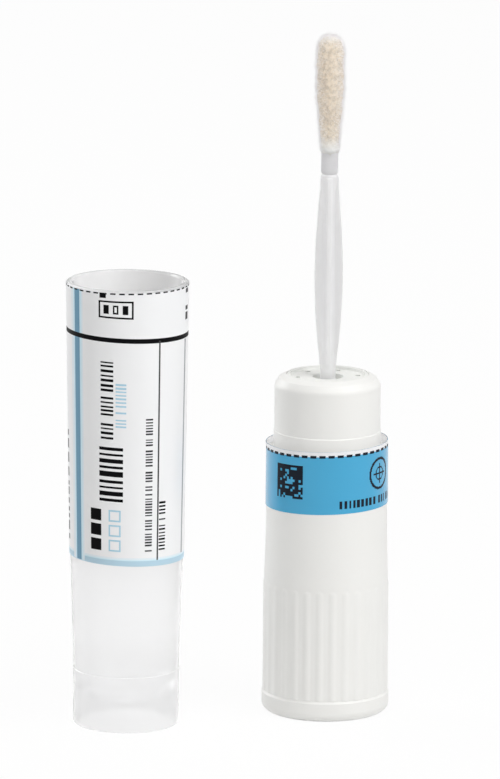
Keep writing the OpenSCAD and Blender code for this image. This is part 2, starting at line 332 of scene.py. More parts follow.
# the thin blue film lets most light pass to the collar behind its free edge
FILM_CLARITY = 0.9
BLUE_FILM = lets_lamps_through(finish_of(
    "blue_film", srgb(60, 168, 214), 0.36, grain=45, vary=0.03, bump=0.1, bump_scale=900,
    Specular_IOR_Level=0.1, Coat_Weight=1.0, Coat_Roughness=0.25), FILM_CLARITY, bounced=True)
BAND_EDGE = lets_lamps_through(finish_of(
    "band_edge", srgb(240, 241, 244), 0.4, grain=60, vary=0.02), FILM_CLARITY, bounced=True)
# the band's back is grey-lilac, darker than its white edge: painted shade inside its free edge
BAND_BACK = lets_lamps_through(finish_of(
    "band_back", srgb(216, 216, 224), 0.5, grain=60, vary=0.03, Subsurface_Weight=1.0,
    Subsurface_Radius=EVEN, Subsurface_Scale=0.002), FILM_CLARITY, bounced=True)
NAVY_INK = finish_of("navy_ink", srgb(2, 17, 33), 0.5, grain=400, vary=0.2, Specular_IOR_Level=0.2)

SHAFT = finish_of("milky_moulding", (0.85, 0.85, 0.885), 0.36, grain=150, vary=0.02, rough_vary=0.03,
                  IOR=1.45, Subsurface_Weight=1.0, Subsurface_Radius=EVEN, Subsurface_Scale=0.006)
NECK = finish_of("milky_neck", (0.88, 0.875, 0.90), 0.36, grain=150, vary=0.02, rough_vary=0.03,
                 IOR=1.4, Subsurface_Weight=0.9, Subsurface_Radius=EVEN, Subsurface_Scale=0.003,
                 Transmission_Weight=0.45)


def flock_finish():
    """Flock: a speckled colour that pales towards the domed end and towards the foot."""
    m = finish_of("flock_body", srgb(211, 199, 184), 0.95, grain=1800, vary=0.19, bump=0.6, bump_scale=1500,
                  Subsurface_Weight=1.0, Subsurface_Radius=(1.0, 0.95, 0.9), Subsurface_Scale=0.007)
    tree = m.node_tree
    crisp = ranged(tree, node_of(m, "TEX_NOISE").outputs["Fac"], From_Min=0.36, From_Max=0.64)
    tree.links.new(crisp, node_of(m, "MIX").inputs["Factor"])
    toned(m, srgb(240, 236, 230), TIP_TOP - 1.5, TIP_TOP - 0.1)
    toned(m, srgb(234, 233, 228), TIP_Z + 2.6, TIP_Z + 0.6)
    return lets_lamps_through(m)


FLOCK_BODY = flock_finish()
FIBRE = lets_lamps_through(finish_of(
    "flock_fibre", srgb(252, 249, 250), 0.6, grain=1500, vary=0.05, Transmission_Weight=0.5, IOR=1.05))


# ---------------------------------------------------------------- clear tube

# outer radii at the belt, at the heel over the skirt, and of the skirt, and the bore that the cap's plug fits
BELT_R, HEEL_R, SKIRT_R, SEAT_R = MOUTH_R - 0.6, MOUTH_R - 1.18, MOUTH_R - 1.1, MOUTH_R - 0.95
SKIRT_H, BELT_Z, SEAT_Z = 8.6, 27.0, RIM_Z - 12.4
WALL, LIP, HEEL_STEP = 0.95, 0.25, 0.08
# the floor's face is part of a ball: the height of its lowest point, its radius, its thickness, and how far
# from the wall the floor's own material ends
DISH_LOW, DISH_R, DISH_T, DISH_EDGE = 3.5, 8.6, 0.9, 0.4
DISH_ROWS, TUBE_SEG, TUBE_ROW = 16, 160, 4.0
INNER_FOOT, SKIRT_IN = HEEL_R - WALL, SKIRT_R - WALL


def tube_r(z):
    """Outer radius above the skirt: one taper up to the belt, and another up to the lip."""
    if z > BELT_Z:
        return BELT_R + (MOUTH_R - BELT_R) * (z - BELT_Z) / (RIM_Z - LIP - BELT_Z)
    return HEEL_R + (BELT_R - HEEL_R) * (z - SKIRT_H) / (BELT_Z - SKIRT_H)


def dished(edge, radius):
    """Points of the dished floor's face from its middle to just short of its edge, and its height there."""
    def height(r):
        return DISH_LOW + DISH_R - math.sqrt(radius ** 2 - r ** 2)
    rs = [edge * k / DISH_ROWS for k in range(DISH_ROWS)]
    return [(r, height(r)) for r in rs], height(edge)


def make_tube():
    """One wall from the floor's middle up inside, over the rim, down outside and up under the floor."""
    inside, inside_edge = dished(INNER_FOOT, DISH_R)
    under, under_edge = dished(SKIRT_IN, DISH_R + DISH_T)
    wall = rounded([
        inside[-1], (INNER_FOOT, inside_edge, 0.5), (INNER_FOOT + 0.02, SKIRT_H), (BELT_R - WALL, BELT_Z),
        (SEAT_R, SEAT_Z), (SEAT_R, RIM_Z - LIP, 0.15), (SEAT_R + LIP, RIM_Z, 0.15), (MOUTH_R, RIM_Z, LIP),
        (BELT_R, BELT_Z), (HEEL_R, SKIRT_H + HEEL_STEP, 0.05), (SKIRT_R, SKIRT_H, 0.05), (SKIRT_R, 0, 0.5),
        (SKIRT_IN, 0, 0.12), (SKIRT_IN, under_edge, 0.5), under[-1]])
    outline = inside[:-1] + divided(wall, TUBE_ROW) + under[:-1][::-1]
    verts, faces = lathe(outline[::-1], TUBE_SEG, TUBE_AXIS)
    middle = np.array([np.mean([verts[k] for k in face], 0) for face in faces])
    off_axis = np.hypot(middle[:, 0] - TUBE_AXIS[0], middle[:, 1] - TUBE_AXIS[1])
    on_floor = off_axis < INNER_FOOT - DISH_EDGE
    return add_mesh("tube_clear", verts, faces, [CLEAR, CLEAR_FLOOR], on_floor.astype(int).tolist())


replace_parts(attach(make_tube(), "tube"), "tube")


# ---------------------------------------------------------------- printed films

GLUE, FILM_T = 0.03, 0.10           # a film's distance from what it is on, and its thickness
GRID_DEG, GRID_MM = 3.0, 3.0        # a film's grid where nothing is printed
ROOM_DEG, ROOM_MM = 0.3, 0.1        # a plain grid line keeps this far from each print's edge
LEAST_DEG, LEAST_MM = 0.02, 0.004   # edges closer than this share a grid line
ALL_ROUND = (-180, 179.9)           # the grid closes at 180
WORD_GAP = 3.0                      # a gap between words is this many times wider
PERFORATIONS = 42                   # dashes along each torn edge


def thinned(values, least):
    """Sorted values, none closer than least to the one before it."""
    out = []
    for v in sorted(values):
        if not out or v - out[-1] > least:
            out.append(v)
    return out


def film_grid(spots, low, top):
    """Angles and heights of a film's grid lines. Every print's edge has one."""
    cuts_a = [a for spot in spots for a in spot[:2]]
    cuts_z = [z for spot in spots for z in spot[2:4] if low < z < top]
    plain_a = [a for a in np.arange(-180, 180, GRID_DEG) if all(abs(a - c) > ROOM_DEG for c in cuts_a)]
    plain_z = [z for z in np.arange(low, top, GRID_MM) if all(abs(z - c) > ROOM_MM for c in cuts_z)]
    angles = thinned(cuts_a + plain_a, LEAST_DEG)
    heights = thinned([low, top] + cuts_z + plain_z, LEAST_MM)
    return np.array(angles), np.array(heights[:-1] + [top])


def painted(spots, inks, angles, heights):
    """The number of the ink in each cell of the grid, later spots over earlier ones."""
    across = (angles + np.append(angles[1:], angles[0] + 360)) / 2
    up = (heights[:-1] + heights[1:]) / 2
    paint = np.zeros((len(up), len(across)), int)
    for a0, a1, z0, z1, ink in spots:
        columns = np.where((across > a0) & (across < a1))[0]
        rows = np.where((up > z0) & (up < z1))[0]
        paint[np.ix_(rows, columns)] = list(inks).index(ink)
    return paint


def printed_sleeve(name, at, radius, low, top, tilt, spots, inks, fade=lambda z: 1.0, wave=lambda a, z: 0.0):
    """Film round an axis, with spots (angle, angle, z, z, ink). Angles are from the front, to the right.

    radius(z) is its back's. tilt leans the print, and fade(z) is how much of that applies at z.
    wave(angles, z) moves the film in or out. The first of inks is the bare film and its edges, and "back"
    is its back.
    """
    angles, heights = film_grid(spots, low, top)
    paint = painted(spots, inks, angles, heights)
    turn = np.radians(angles)
    lean = math.tan(math.radians(tilt))
    verts, normals = [], []
    for thick, outward in ((FILM_T, 1), (0, -1)):
        for z in heights:
            r = radius(z) + thick + wave(turn, z) * np.ones(len(turn))
            x, y = r * np.sin(turn), -r * np.cos(turn)
            verts.append(np.stack([at[0] + x, at[1] + y, z + lean * x * fade(z)], 1))
            normals.append(np.stack([outward * np.sin(turn), -outward * np.cos(turn), 0 * turn], 1))

    def corner(side, row, column):
        return (side * len(heights) + row) * len(angles) + column % len(angles)

    cells = [(j, i) for j in range(len(heights) - 1) for i in range(len(angles))]
    faces = [(corner(0, j, i), corner(0, j, i + 1), corner(0, j + 1, i + 1), corner(0, j + 1, i))
             for j, i in cells]
    faces += [(corner(1, j, i), corner(1, j + 1, i), corner(1, j + 1, i + 1), corner(1, j, i + 1))
              for j, i in cells]
    faces += [(corner(1, 0, i), corner(1, 0, i + 1), corner(0, 0, i + 1), corner(0, 0, i))
              for i in range(len(angles))]
    last = len(heights) - 1
    faces += [(corner(0, last, i), corner(0, last, i + 1), corner(1, last, i + 1), corner(1, last, i))
              for i in range(len(angles))]
    face_inks = [int(ink) for ink in paint.ravel()] + [list(inks).index("back")] * len(cells)
    face_inks += [0] * (len(faces) - len(face_inks))
    return add_mesh(name, np.concatenate(verts), faces, list(inks.values()), face_inks,
                    np.concatenate(normals))


def degrees_at(x, r):
    """Angle from the front at which a point of radius r shows at a distance x from the axis."""
    return math.degrees(math.asin(x / r))


def bars(a0, a1, z0, z1, ink, height, gap, word, seed):
    """Bars across a strip that runs up the film. Heights and gaps are drawn from ranges, and word is the
    chance of a gap between words."""
    draw = random.Random(seed)
    out, z = [], z0
    while z < z1 - height[0]:
        tall = min(draw.uniform(*height), z1 - z)
        out.append((a0, a1, round(z, 3), round(z + tall, 3), ink))
        z += tall + draw.uniform(*gap) * (WORD_GAP if draw.random() < word else 1.0)
    return out


def dashes(count, share, z0, z1, ink, phase):
    """Dashes round the film, but for one that would cross the grid's end."""
    pitch = 360 / count
    starts = [-180 + pitch * (k + phase) for k in range(count)]
    ends = [-180 + pitch * (k + phase + share) for k in range(count)]
    return [(start, end, z0, z1, ink) for start, end in zip(starts, ends) if end < 180]


# ---------------------------------------------------------------- label

LABEL_LOW, LABEL_TOP = 26.2, RIM_Z - LIP
LABEL_TILT, LABEL_EASE = -1.9, 4.0
LINE_Z, LINE_HALF = 60.97, 0.36
LABEL_INKS = {"film": FILM, "black": BLACK_INK, "grey": GREY_INK, "pale": PALE_INK, "steel": STEEL_INK,
              "sky": SKY_INK, "haze": HAZE_INK, "back": FILM_BACK, "faint": FAINT_INK, "line": LINE_INK}

# blue print with soft edges, the widest and palest tone first: heights over the label's foot, and angles
FOOT_LINE = ((1.3, "faint"), (1.02, "haze"), (0.85, "line"))
SIDE_STRIPE = ((-64.6, -45.8, "faint"), (-60.8, -47.6, "haze"), (-58.2, -50.4, "steel"))

# columns that stand for text: left and right edge as seen from the front and the radius there, bottom, top,
# ink, a bar's height, the gap to the next, the chance of a gap between words, and the seed
TEXT_COLUMNS = (
    (-4.05, -0.45, 8.95, 36.1, 44.5, "black", (0.3, 0.95), (0.28, 0.55), 0.0, 3),
    (-3.85, -1.95, 9.05, 45.7, 57.9, "black", (0.22, 0.42), (0.26, 0.42), 0.12, 5),
    (-1.6, 0.0, 9.05, 47.6, 54.4, "sky", (0.2, 0.34), (0.24, 0.36), 0.1, 7),
    (2.9, 3.95, 8.85, 28.5, 49.1, "grey", (0.16, 0.3), (0.16, 0.26), 0.16, 9),
    (4.95, 5.9, 8.8, 28.6, 36.2, "black", (0.18, 0.34), (0.2, 0.34), 0.15, 11),
)

# columns near the label's sides, the same but for their left and right edges, which are angles
SIDE_COLUMNS = (
    (-83.0, -77.5, 28.6, 45.5, "grey", (0.5, 1.6), (0.3, 0.8), 0.2, 13),
    (71.0, 78.0, 63.4, 67.9, "grey", (0.5, 1.2), (0.3, 0.6), 0.2, 15),
)

# ruled lines up the label: left, right, start over its foot, end under the black line, ink
RULES = ((32.0, 33.7, 0.9, 0.0, "grey"), (70.0, 73.5, 1.2, 0.5, "pale"))
# a dark tab at the torn edge, and the size of the dashes along it
TAB_LEFT, TAB_RIGHT, TAB_H = -26.0, -19.6, 0.8
DASH_H, DASH_SHARE = 0.22, 0.6

# the framed box over the line: its sides, its line's width across and up, and its three marks
BOX_LEFT, BOX_RIGHT, BOX_LOW, BOX_TOP = -27.0, 6.6, 64.3, 67.05
BOX_LINE_DEG, BOX_LINE = 1.7, 0.27
MARKS, MARK_FIRST, MARK_PITCH, MARK_HALF, MARK_INSET = 3, 7.6, 9.2, 2.6, 0.68
HOLE_HALF, HOLE_INSET = 1.1, 0.95    # the middle mark is open

# tick boxes low on the label, black ones and open blue ones
TICK_ROWS, TICK_LOW, TICK_PITCH, TICK = 3, 28.4, 2.3, 1.8
TICK_R, TICK_WIDE, TICK_LINE_DEG, TICK_LINE = 8.8, 1.85, 1.5, 0.24
TICK_COLUMNS = ((-5.3, "black"), (-2.6, "sky"))


def label_fade(z):
    """The print leans, but the torn edge at the rim is level."""
    return eased((LABEL_TOP - z) / LABEL_EASE)


def framed_box():
    spots = [(BOX_LEFT, BOX_RIGHT, BOX_LOW, BOX_TOP, "black"),
             (BOX_LEFT + BOX_LINE_DEG, BOX_RIGHT - BOX_LINE_DEG,
              BOX_LOW + BOX_LINE, BOX_TOP - BOX_LINE, "film")]
    for k in range(MARKS):
        a = BOX_LEFT + MARK_FIRST + MARK_PITCH * k
        spots.append((a - MARK_HALF, a + MARK_HALF, BOX_LOW + MARK_INSET, BOX_TOP - MARK_INSET, "black"))
        if k == MARKS // 2:
            spots.append((a - HOLE_HALF, a + HOLE_HALF, BOX_LOW + HOLE_INSET, BOX_TOP - HOLE_INSET, "film"))
    return spots


def tick_boxes():
    spots = []
    for row in range(TICK_ROWS):
        z = TICK_LOW + TICK_PITCH * row
        for x, ink in TICK_COLUMNS:
            a0 = degrees_at(x, TICK_R)
            a1 = a0 + math.degrees(TICK_WIDE / TICK_R)
            spots.append((a0, a1, z, z + TICK, ink))
            if ink == "sky":
                spots.append((a0 + TICK_LINE_DEG, a1 - TICK_LINE_DEG,
                              z + TICK_LINE, z + TICK - TICK_LINE, "film"))
    return spots


def label_print():
    """Everything on the label, which says nothing."""
    spots = [(*ALL_ROUND, LABEL_LOW, LABEL_LOW + high, ink) for high, ink in FOOT_LINE]
    spots += [(a0, a1, LABEL_LOW + 0.1, LABEL_TOP, ink) for a0, a1, ink in SIDE_STRIPE]
    spots.append((*ALL_ROUND, LINE_Z - LINE_HALF, LINE_Z + LINE_HALF, "black"))
    spots += [(a0, a1, LABEL_LOW + over, LINE_Z - under, ink) for a0, a1, over, under, ink in RULES]
    spots += dashes(PERFORATIONS, DASH_SHARE, LABEL_TOP - DASH_H, LABEL_TOP, "black", 0.2)
    spots.append((TAB_LEFT, TAB_RIGHT, LABEL_TOP - TAB_H, LABEL_TOP, "black"))
    spots += framed_box()
    for left, right, r, *rest in TEXT_COLUMNS:
        spots += bars(degrees_at(left, r), degrees_at(right, r), *rest)
    for column in SIDE_COLUMNS:
        spots += bars(*column)
    return spots + tick_boxes()


label = printed_sleeve("label_film", TUBE_AXIS, lambda z: tube_r(z) + GLUE, LABEL_LOW, LABEL_TOP, LABEL_TILT,
                       label_print(), LABEL_INKS, fade=label_fade)
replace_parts(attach(label, "tube"), "tube_label")


# ---------------------------------------------------------------- cap

# the body, from its shoulder down to the ring that it stands on
SHOULDER_R, SHOULDER_Z = MOUTH_R, PLUG_Z - 11.4
WAIST_R, WAIST_Z = SHOULDER_R + 0.07, 28.0
GRIP_R, GRIP_Z = WAIST_R + 0.21, 21.1
FOOT_R = GRIP_R + 0.02
RING_R, RING_H, RING_BEVEL = FOOT_R + 0.25, 3.3, 0.35
# the plug over the shoulder, with its tight collar and bevelled nose, and the disc's seat in it
COLLAR_R, COLLAR_Z = SEAT_R - 0.05, SHOULDER_Z + 2.7
PLUG_R, NOSE_IN, NOSE_H, NOSE_EDGE = SEAT_R - 0.15, 0.66, 1.55, 0.52
SEAT_IN, LEDGE_IN, DISC_Z = DISC_R + 0.03, DISC_R - 0.37, DISC_TOP - 1.8
CHAMBER_FLOOR = 2.4
# grip ribs: how many, where they end, their half width, how far they stand out and how much less at the top
RIBS, RIB_TOP, RIB_HALF, RIB_PROUD, RIB_FADE = 30, 20.5, 0.68, 0.125, 0.03
RIB_SEG, CAP_ROW = 16, 5.0
ARCH_LOW, ARCH_TOP, ARCH_ROW = RIB_TOP - 1.2, RIB_TOP + 0.3, 0.09    # rows are close where the ribs end


def body_r(z):
    """Outer radius between the foot ring and the shoulder: three slight tapers."""
    if z > WAIST_Z:
        return WAIST_R + (SHOULDER_R - WAIST_R) * (z - WAIST_Z) / (SHOULDER_Z - WAIST_Z)
    if z > GRIP_Z:
        return GRIP_R + (WAIST_R - GRIP_R) * (z - GRIP_Z) / (WAIST_Z - GRIP_Z)
    return FOOT_R + (GRIP_R - FOOT_R) * (z - RING_H) / (GRIP_Z - RING_H)


def ribbed(r, z, angles):
    """Body radius with its grip ribs: low rounded ridges that end in an arch."""
    if not RING_H + 0.02 < z < RIB_TOP + 0.1 or r < FOOT_R - 1:
        return np.full(len(angles), r)
    pitch = 2 * math.pi / RIBS
    aside = ((angles / pitch + 0.5) % 1.0 - 0.5) * pitch * r
    above = max(0.0, z - (RIB_TOP - RIB_HALF))
    out = (aside ** 2 + above ** 2) / RIB_HALF ** 2
    proud = RIB_PROUD - RIB_FADE * (z - RING_H) / (RIB_TOP - RING_H)
    return r + proud * np.clip(1 - out, 0, None) ** 1.5


def make_cap():
    """The moulding, hollow from the plug's end down to the chamber's floor."""
    line = rounded([
        (0, 0), (RING_R, 0, 2.2), (RING_R, RING_H - RING_BEVEL, 0.08), (FOOT_R, RING_H, 0.08),
        (GRIP_R, GRIP_Z), (WAIST_R, WAIST_Z), (SHOULDER_R, SHOULDER_Z, 0.3), (COLLAR_R, SHOULDER_Z, 0.12),
        (COLLAR_R, COLLAR_Z, 0.15), (PLUG_R, COLLAR_Z + 0.1, 0.2), (PLUG_R, PLUG_Z - NOSE_H, 1.1),
        (PLUG_R - NOSE_IN, PLUG_Z - NOSE_EDGE, 0.3), (SEAT_IN + 0.1, PLUG_Z - 0.03, 0.05),
        (SEAT_IN, PLUG_Z, 0.02), (SEAT_IN, DISC_Z, 0.1), (LEDGE_IN, DISC_Z, 0.1),
        (LEDGE_IN - 0.15, CHAMBER_FLOOR, 0.5), (0, CHAMBER_FLOOR)], steps=7)
    outline = []
    for a, b in zip(line, line[1:]):
        outline.append(a)
        if a[1] < RIB_TOP < b[1]:
            rows = [*np.arange(a[1] + 1.5, ARCH_LOW, 2.0), *np.arange(ARCH_LOW, ARCH_TOP, ARCH_ROW)]
            outline += [(body_r(z), float(z)) for z in rows]
    outline.append(line[-1])
    return add_mesh("cap_moulding", *lathe(divided(outline, CAP_ROW), RIBS * RIB_SEG, CAP_AXIS, ribbed),
                    [CAP_WHITE])


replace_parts(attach(make_cap(), "cap"), "cap_body")


# ---------------------------------------------------------------- blue band

BAND_LOW, BAND_TOP = SHOULDER_Z - 8.6, SHOULDER_Z + 1.1
BAND_TILT, BAND_R = 1.6, SHOULDER_R + GLUE + FILM_T
DASH_Z, DASH_HALF = 41.45, 0.21
BAND_INKS = {"film": BLUE_FILM, "navy": NAVY_INK, "white": BAND_EDGE, "back": BAND_BACK}

# the square code: its left edge and width in degrees, its foot and height, and how many cells are dark
CELLS, CODE_LEFT, CODE_WIDE, CODE_LOW, CODE_HIGH, CODE_DARK = 14, -54.0, 30.5, 34.8, 5.2, 0.72
CODE_SEED = 23
# the sign: a ring round a cross and a smaller ring, drawn in square dots
SIGN_A, SIGN_Z, SIGN_DOT = 58.5, 37.9, 0.13
SIGN_OUT, SIGN_IN, EYE_OUT, EYE_IN, CROSS, CROSS_HALF = 2.5, 2.08, 1.1, 0.85, 1.5, 0.14
# the row of bars that stands for text: where it runs, and its bars' and gaps' widths in degrees
ROW_LEFT, ROW_RIGHT, ROW_LOW, ROW_TOP = 11.5, 84, 33.3, 34.5
ROW_BARS, ROW_GAPS, ROW_SEED = (1.6, 3.4), (1.4, 1.8, 2.2, 4.5), 29


def code_cells():
    """A square of random cells with two dark sides. It says nothing."""
    draw = random.Random(CODE_SEED)
    spots = []
    for i in range(CELLS):
        for j in range(CELLS):
            if i == 0 or j == CELLS - 1 or draw.random() < CODE_DARK:
                a0, a1 = (CODE_LEFT + CODE_WIDE * k / CELLS for k in (i, i + 1))
                z0, z1 = (CODE_LOW + CODE_HIGH * k / CELLS for k in (j, j + 1))
                spots.append((a0, a1, z0, z1, "navy"))
    return spots


def ringed_cross():
    reach = int(SIGN_OUT / SIGN_DOT) + 1
    spots = []
    for i in range(-reach, reach):
        for j in range(-reach, reach):
            x, z = (i + 0.5) * SIGN_DOT, (j + 0.5) * SIGN_DOT
            d = math.hypot(x, z)
            on_cross = d < CROSS and min(abs(x), abs(z)) < CROSS_HALF
            if SIGN_IN < d < SIGN_OUT or on_cross or EYE_IN < d < EYE_OUT:
                spots.append((SIGN_A + math.degrees(i * SIGN_DOT / BAND_R),
                              SIGN_A + math.degrees((i + 1) * SIGN_DOT / BAND_R),
                              SIGN_Z + j * SIGN_DOT, SIGN_Z + (j + 1) * SIGN_DOT, "navy"))
    return spots


def text_row():
    draw = random.Random(ROW_SEED)
    spots, a = [], ROW_LEFT
    while a < ROW_RIGHT:
        wide = draw.uniform(*ROW_BARS)
        spots.append((a, a + wide, ROW_LOW, ROW_TOP, "navy"))
        a += wide + draw.choice(ROW_GAPS)
    return spots


def band_print():
    spots = [(*ALL_ROUND, DASH_Z, BAND_TOP, "white")]
    spots += dashes(PERFORATIONS, 0.68, DASH_Z - DASH_HALF, DASH_Z + DASH_HALF, "navy", 0.1)
    return spots + code_cells() + ringed_cross() + text_row()


def band_wave(a, z):
    """The torn edge stands free past the shoulder and isn't quite round."""
    free = max(0.0, (z - SHOULDER_Z - 0.1) / (BAND_TOP - SHOULDER_Z))
    return free * (0.05 * np.sin(3 * a + 0.7) + 0.03 * np.sin(7 * a))


band = printed_sleeve("band_film", CAP_AXIS, lambda z: body_r(z) + GLUE, BAND_LOW, BAND_TOP, BAND_TILT,
                      band_print(), BAND_INKS, wave=band_wave)
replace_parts(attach(band, "cap"), "cap_band")


# ---------------------------------------------------------------- disc and desiccant, with softened edges

for node, mat, width in (("vent_disc", DISC_WHITE, 0.12), ("desiccant", BEADS, 0.2)):
    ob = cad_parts[node]
    ob.data.materials.clear()
    ob.data.materials.append(mat)
    soften = ob.modifiers.new("soft_edges", "BEVEL")
    soften.width = width * MM
    soften.segments = 3
    soften.limit_method = "ANGLE"
    soften.angle_limit = math.radians(40)


# ---------------------------------------------------------------- swab shaft

# radii of the round stretches, then the blade: its width over two fins, half a fin's thickness, its core
FOOT_HALF, NECK_HALF, NOTCH_HALF, CORE = 1.2, 1.29, 1.05, 1.0
FOOT_BEVEL, NOTCH_REACH = 0.15, 0.25
BLADE_W, FIN, SPINE, EASE = 4.3, 0.4, 0.95, 2.5
BLADE_LOW, NOTCH_Z = PLUG_Z + 1.5, TIP_TOP - 21.7
BLADE_TOP = NOTCH_Z - 0.5
FINS, BLADE_ROWS, CORE_ROWS = 4, 110, 6
FIN_POWER, ROOT_POWER = 14.0, 10.0    # higher powers make squarer fin edges and tighter roots
# angles round one fin, and then round all four
FIN_SIDE = [3.5, 7, 9.5, 11.5, 13.5, 16, 19, 22, 26, 31, 38]
FIN_ANGLES = np.radians([-45] + [-a for a in reversed(FIN_SIDE)] + [0] + FIN_SIDE)
AROUND = np.concatenate([FIN_ANGLES + 2 * math.pi / FINS * k for k in range(FINS)])


def fin_half(t):
    """Half width across two fins: from the foot's to the neck's, swelling between them."""
    mean = (FOOT_HALF + NECK_HALF) / 2
    return FOOT_HALF + (NECK_HALF - FOOT_HALF) * t + (BLADE_W / 2 - mean) * math.sin(math.pi * t ** 0.9)


def spine_r(z):
    """Radius of the round core between the fins. It eases into the foot and the neck."""
    if z < (BLADE_LOW + BLADE_TOP) / 2:
        return FOOT_HALF + (SPINE - FOOT_HALF) * eased((z - BLADE_LOW) / EASE)
    return NECK_HALF + (SPINE - NECK_HALF) * eased((BLADE_TOP - z) / EASE)


def blade_section(z):
    """Radii over one fin: a fin with a rounded tip and soft roots on the round core."""
    reach = fin_half((z - BLADE_LOW) / (BLADE_TOP - BLADE_LOW))
    side = FIN / np.maximum(np.abs(np.sin(FIN_ANGLES)), 1e-4)
    fin = (reach ** -FIN_POWER + side ** -FIN_POWER) ** (-1 / FIN_POWER)
    return (fin ** ROOT_POWER + spine_r(z) ** ROOT_POWER) ** (1 / ROOT_POWER)


def shaft_radii(z):
    """Radii round the shaft: foot, finned blade, neck with its break notch, and the core under the flock."""
    if BLADE_LOW < z < BLADE_TOP:
        return np.tile(blade_section(z), FINS)
    if z > TIP_Z:
        r = CORE
    elif z > BLADE_TOP:
        r = NOTCH_HALF + (NECK_HALF - NOTCH_HALF) * min(1.0, abs(z - NOTCH_Z) / NOTCH_REACH)
    else:
        r = FOOT_HALF - (FOOT_BEVEL if z == SWAB_FOOT_Z else 0)
    return np.full(len(AROUND), r)


def make_shaft():
    """The shaft from its foot in the disc to its end inside the flock. From the notch up it is neck."""
    heights = [SWAB_FOOT_Z, SWAB_FOOT_Z + FOOT_BEVEL]
    heights += [*np.arange(SWAB_FOOT_Z + 1.5, BLADE_LOW - 0.2, 1.5), BLADE_LOW - 0.05]
    heights += [*np.linspace(BLADE_LOW + 0.02, BLADE_TOP - 0.02, BLADE_ROWS), BLADE_TOP + 0.02]
    heights += [NOTCH_Z + up for up in (-0.27, -0.25, -0.12, 0, 0.12, 0.25, 0.27, 0.8)]
    heights += [TIP_Z - 0.8, TIP_Z - 0.05, TIP_Z, *np.linspace(TIP_Z + 0.02, TIP_TOP - 2.4, CORE_ROWS)]
    rows = [[(*CAP_AXIS, SWAB_FOOT_Z)]]
    rows += [ring(CAP_AXIS, shaft_radii(z), AROUND, z) for z in heights]
    rows.append([(*CAP_AXIS, heights[-1] + 0.3)])
    is_neck = [int(z >= NOTCH_Z) for z in [SWAB_FOOT_Z] + heights for _ in AROUND]
    return add_mesh("swab_stem", *skin(rows), [SHAFT, NECK], is_neck)


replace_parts(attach(make_shaft(), "cap"), "swab_shaft")


# ---------------------------------------------------------------- flocked tip

# radii at the flock's foot and over its flare, how high the flare and the cone end, and the dome's height
FLOCK_FOOT, LOW_R, FLARE, SWELL, DOME = NECK_HALF + 0.06, 1.7, 0.7, 9.2, 3.9
FLOCK_DEPTH = 0.46                               # the body stays this far under the fibres' ends
CROWN, CROWN_RISE, CROWN_DROP = 2.0, 1.6, 0.3    # its last stretch, the rows' rise there, and a lower top
TIP_SEG, TIP_ROWS = 96, 90
FIBRES, FIBRE_ROOM, FIBRE_R = 13000, 0.1, (0.01, 0.02)
FIBRE_LEAN, FIBRE_SWAY, FIBRE_PROUD, CLUMPING = 0.33, 0.18, (-0.1, 0.16), 0.9
THIRD = 2 * math.pi / 3
flock_draw = np.random.default_rng(41)


def tip_r(z):
    """Outer radius of the flock: a short flare, a long cone and a domed end."""
    if z > TIP_TOP - DOME:
        up = min(1.0, (z - (TIP_TOP - DOME)) / DOME)
        return TIP_R * (1 - up ** 2.5) ** 0.4
    up = z - TIP_Z
    if up < 0:
        return FLOCK_FOOT + 0.12 * up
    if up < FLARE:
        return FLOCK_FOOT + (LOW_R - FLOCK_FOOT) * math.sin(math.pi / 2 * up / FLARE)
    return min(TIP_R, LOW_R + (TIP_R - LOW_R) * (up - FLARE) / (SWELL - FLARE))


def clump(a, z):
    """Slow unevenness of the flock."""
    return (0.05 * math.sin(3.1 * a + 1.3 * z) + 0.045 * math.sin(5.3 * a - 2.1 * z + 1)
            + 0.04 * math.sin(2 * a + 3.7 * z + 2) + 0.03 * math.sin(9 * a + 4.9 * z))


def under_fibres(z):
    """(r, z) of the flock's body, as deep under the fibres' ends as the flock is thick there."""
    depth = FLOCK_DEPTH * min(1, (z - TIP_Z) / 2 + 0.25)
    least = NECK_HALF + 0.02 if z < TIP_Z + 0.6 else 0.08
    drop = CROWN_DROP * max(0, (z - (TIP_TOP - CROWN)) / CROWN)
    return max(least, tip_r(z) - depth), z - drop


def rough_row(r, z, angles):
    """Radii of a row of the flock's body, uneven and rough, and calmer near the axis."""
    return np.array([max(0.02, r + clump(a, z) * min(1, r / 1.2)
                         + flock_draw.uniform(-0.05, 0.05) * min(1, r)) for a in angles])


def make_flock_body():
    heights = list(np.linspace(TIP_Z + 0.1, TIP_TOP - CROWN, TIP_ROWS))
    heights += [TIP_TOP - CROWN + CROWN_RISE * math.sin(math.radians(q)) for q in range(5, 91, 5)]
    outline = [(0.0, TIP_Z - 0.5), (NECK_HALF - 0.12, TIP_Z - 0.5), (NECK_HALF - 0.05, TIP_Z - 0.1)]
    outline += [under_fibres(z) for z in heights]
    outline.append((0.0, outline[-1][1] + 0.01))
    return add_mesh("flock_body", *lathe(outline, TIP_SEG, CAP_AXIS, rough_row), [FLOCK_BODY])


def unit(vectors):
    return vectors / np.linalg.norm(vectors, axis=1)[:, None]


